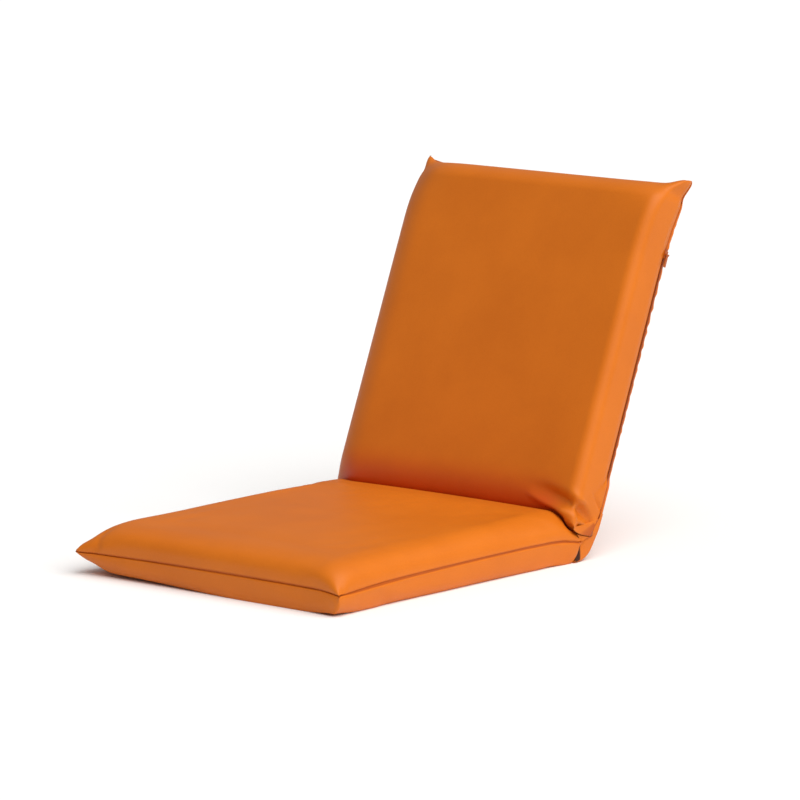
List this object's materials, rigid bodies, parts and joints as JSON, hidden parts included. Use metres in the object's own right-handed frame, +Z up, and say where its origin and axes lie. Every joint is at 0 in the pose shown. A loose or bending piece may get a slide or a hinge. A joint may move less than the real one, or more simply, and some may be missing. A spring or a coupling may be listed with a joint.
{
  "type": "folding floor chair",
  "caption": "Legless floor chair: a padded leatherette seat that lies flat on the floor and a padded back that folds and reclines on ratchet hinges.",
  "frame": {"origin": "middle of the seat's flat base, on the floor", "axes": "+Z up, -Y the way the sitter faces, +X the sitter's left, the side that has the zip"},
  "size_m": [0.4612, 0.7151, 0.4954],
  "materials": {
    "leatherette": "smooth orange leatherette, semi-gloss",
    "foam": "open-cell polyurethane foam",
    "wadding": "thin polyester wadding",
    "felt": "grey needle felt",
    "frame_paint": "black powder coat",
    "zinc_steel": "zinc-plated pressed steel",
    "hardened_steel": "hardened steel, oiled",
    "webbing": "woven elastic webbing",
    "zip_tape": "woven polyester tape",
    "zip_nylon": "moulded nylon",
    "zip_metal": "painted zinc casting"
  },
  "bodies": {
    "seat": {"seat_cover_base": "leatherette", "seat_cover_top": "leatherette", "cover_hinge_wrap": "leatherette", "seat_foam": "foam", "seat_foam_heel": "foam", "seat_padding": "wadding", "seat_felt": "felt", "seat_frame_tube": "frame_paint", "seat_cross_tube": "frame_paint", "seat_frame_rivets": "zinc_steel", "seat_webbing": "webbing", "hinge_case_outer_left": "zinc_steel", "hinge_case_inner_left": "zinc_steel", "hinge_case_rivets_left": "zinc_steel", "hinge_pin_left": "zinc_steel", "hinge_seat_arm_left": "zinc_steel", "pawl_pin_left": "zinc_steel", "pawl_spring_left": "hardened_steel", "hinge_case_outer_right": "zinc_steel", "hinge_case_inner_right": "zinc_steel", "hinge_case_rivets_right": "zinc_steel", "hinge_pin_right": "zinc_steel", "hinge_seat_arm_right": "zinc_steel", "pawl_pin_right": "zinc_steel", "pawl_spring_right": "hardened_steel"},
    "back": {"back_cover_front": "leatherette", "back_cover_rear": "leatherette", "back_foam": "foam", "back_foam_heel": "foam", "back_padding": "wadding", "back_felt": "felt", "back_frame_tube": "frame_paint", "back_cross_tube": "frame_paint", "back_frame_rivets": "zinc_steel", "back_webbing": "webbing", "zip_tape": "zip_tape", "zip_teeth": "zip_nylon", "zip_stops": "zip_nylon", "hinge_gear_arm_left": "zinc_steel", "hinge_gear_arm_right": "zinc_steel"},
    "pawl_left": {"pawl_left": "hardened_steel"},
    "pawl_right": {"pawl_right": "hardened_steel"},
    "zip_slider": {"zip_slider": "zip_metal"},
    "zip_pull": {"zip_pull": "zip_metal"}
  },
  "joints": [
    {"name": "back_recline", "type": "hinge", "parent": "seat", "child": "back", "pos_m": [0, 0.24, 0.028], "axis": [1, 0, 0], "range_deg": [-67.5, 90], "deforming": ["seat_cover_top", "back_cover_front", "cover_hinge_wrap", "seat_foam_heel", "back_foam_heel"]},
    {"name": "pawl_drop_left", "type": "hinge", "parent": "seat", "child": "pawl_left", "pos_m": [0.198, 0.21022, 0.03177], "axis": [1, 0, 0], "range_deg": [0, 9], "stiffness_Nm_per_rad": 0.02},
    {"name": "pawl_drop_right", "type": "hinge", "parent": "seat", "child": "pawl_right", "pos_m": [-0.198, 0.21022, 0.03177], "axis": [1, 0, 0], "range_deg": [0, 9], "stiffness_Nm_per_rad": 0.02},
    {"name": "zip_slide", "type": "slide", "parent": "back", "child": "zip_slider", "axis": [0, -0.3827, -0.9239], "range_m": [0, 0.36]},
    {"name": "zip_pull_swing", "type": "hinge", "parent": "zip_slider", "child": "zip_pull", "pos_m": [0.2276, 0.41343, 0.39443], "axis": [0, -0.9239, 0.3827], "range_deg": [0, 150]}
  ]
}
